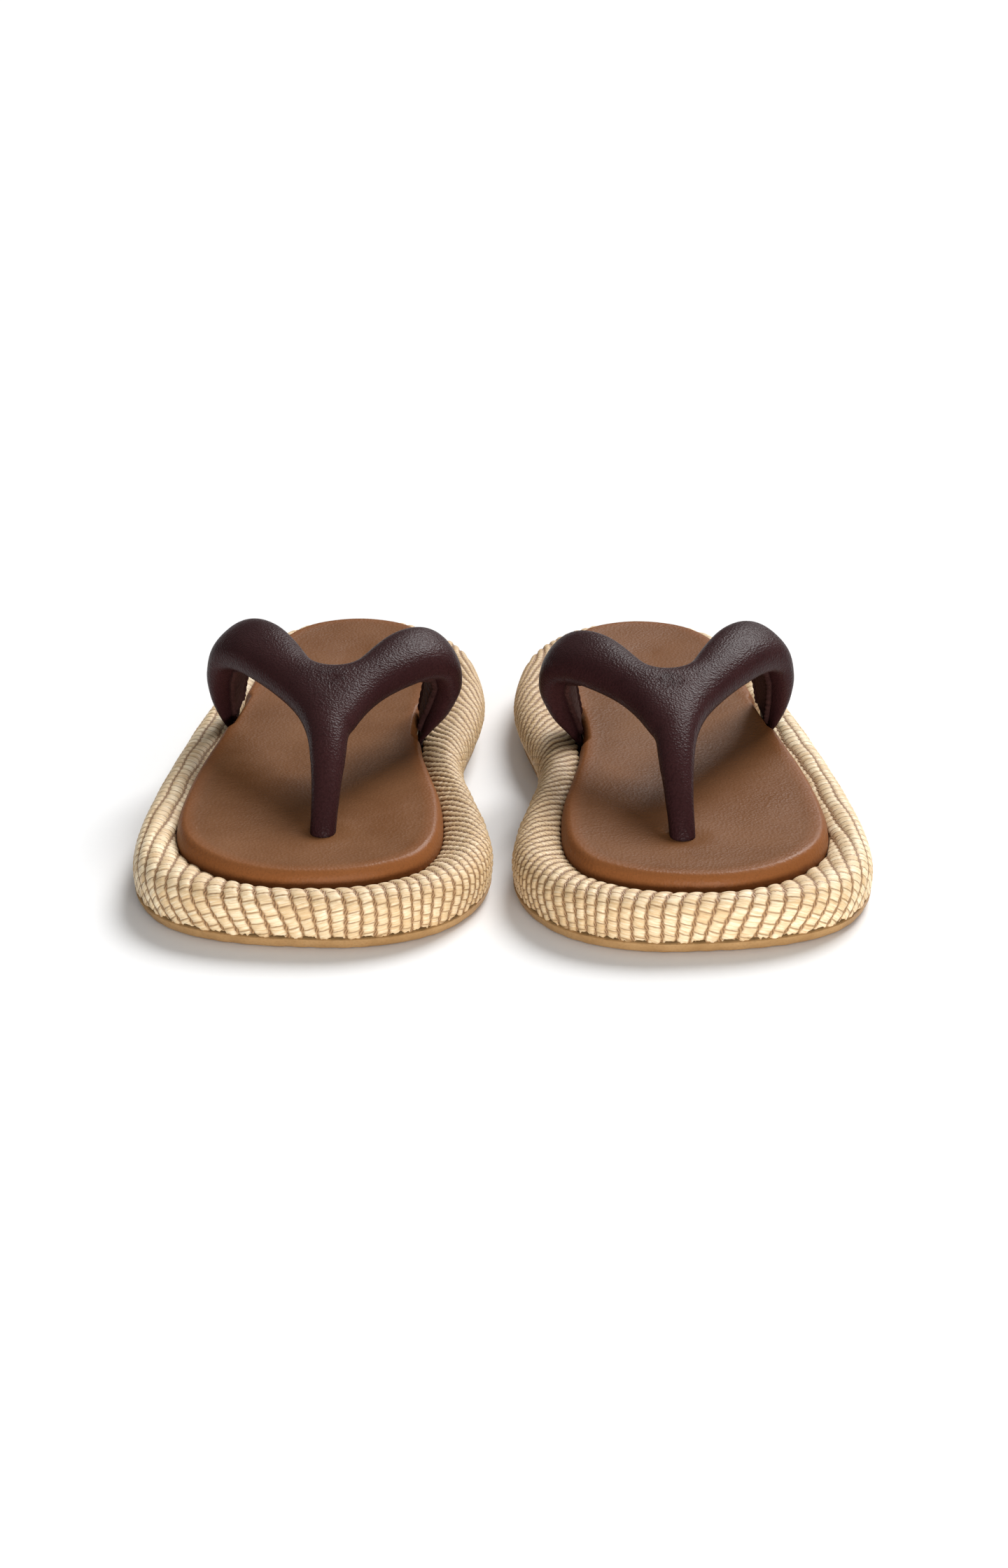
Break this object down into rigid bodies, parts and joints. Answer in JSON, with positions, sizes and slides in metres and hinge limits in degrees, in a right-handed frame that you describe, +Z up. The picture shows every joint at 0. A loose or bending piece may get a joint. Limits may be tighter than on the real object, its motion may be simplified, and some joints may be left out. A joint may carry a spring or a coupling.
{
  "type": "flip flop pair",
  "caption": "Padded thong sandals: a dark leather Y strap over a tan leather footbed set in a pillow-rimmed woven raffia platform with a rubber outsole.",
  "frame": {"origin": "on the floor under the centre of the pair's bounding box", "axes": "+Z up, toes towards -Y, +X towards the wearer's-left shoe"},
  "size_m": [0.2432, 0.2697, 0.0609],
  "materials": {
    "right_outsole": "caramel crumb rubber, slightly rough",
    "right_raffia_wrap": "woven natural raffia with brown threads",
    "right_midsole_core": "closed-cell foam",
    "right_insole_board": "pressed fibre board",
    "right_footbed_foam": "soft open-cell foam",
    "right_footbed_cover": "cognac smooth leather",
    "right_strap_shell": "dark brown fine-grained leather, semi-gloss",
    "right_strap_padding": "soft foam",
    "right_strap_lining_lateral": "dark brown lining leather",
    "right_strap_lining_medial": "dark brown lining leather",
    "right_toe_post_core": "firm flexible core",
    "right_toe_post_anchor": "moulded disc",
    "right_strap_tab_lateral": "folded strap end",
    "right_strap_tab_medial": "folded strap end",
    "left_outsole": "caramel crumb rubber, slightly rough",
    "left_raffia_wrap": "woven natural raffia with brown threads",
    "left_midsole_core": "closed-cell foam",
    "left_insole_board": "pressed fibre board",
    "left_footbed_foam": "soft open-cell foam",
    "left_footbed_cover": "cognac smooth leather",
    "left_strap_shell": "dark brown fine-grained leather, semi-gloss",
    "left_strap_padding": "soft foam",
    "left_strap_lining_lateral": "dark brown lining leather",
    "left_strap_lining_medial": "dark brown lining leather",
    "left_toe_post_core": "firm flexible core",
    "left_toe_post_anchor": "moulded disc",
    "left_strap_tab_lateral": "folded strap end",
    "left_strap_tab_medial": "folded strap end"
  },
  "bodies": {
    "right_shoe": {"right_outsole": "right_outsole", "right_raffia_wrap": "right_raffia_wrap", "right_midsole_core": "right_midsole_core", "right_insole_board": "right_insole_board", "right_footbed_foam": "right_footbed_foam", "right_footbed_cover": "right_footbed_cover", "right_strap_shell": "right_strap_shell", "right_strap_padding": "right_strap_padding", "right_strap_lining_lateral": "right_strap_lining_lateral", "right_strap_lining_medial": "right_strap_lining_medial", "right_toe_post_core": "right_toe_post_core", "right_toe_post_anchor": "right_toe_post_anchor", "right_strap_tab_lateral": "right_strap_tab_lateral", "right_strap_tab_medial": "right_strap_tab_medial"},
    "left_shoe": {"left_outsole": "left_outsole", "left_raffia_wrap": "left_raffia_wrap", "left_midsole_core": "left_midsole_core", "left_insole_board": "left_insole_board", "left_footbed_foam": "left_footbed_foam", "left_footbed_cover": "left_footbed_cover", "left_strap_shell": "left_strap_shell", "left_strap_padding": "left_strap_padding", "left_strap_lining_lateral": "left_strap_lining_lateral", "left_strap_lining_medial": "left_strap_lining_medial", "left_toe_post_core": "left_toe_post_core", "left_toe_post_anchor": "left_toe_post_anchor", "left_strap_tab_lateral": "left_strap_tab_lateral", "left_strap_tab_medial": "left_strap_tab_medial"}
  },
  "joints": [
    {"name": "left_shoe_slide", "type": "slide", "parent": "right_shoe", "child": "left_shoe", "axis": [1, 0, 0], "range_m": [-0.003, 0.15]}
  ]
}
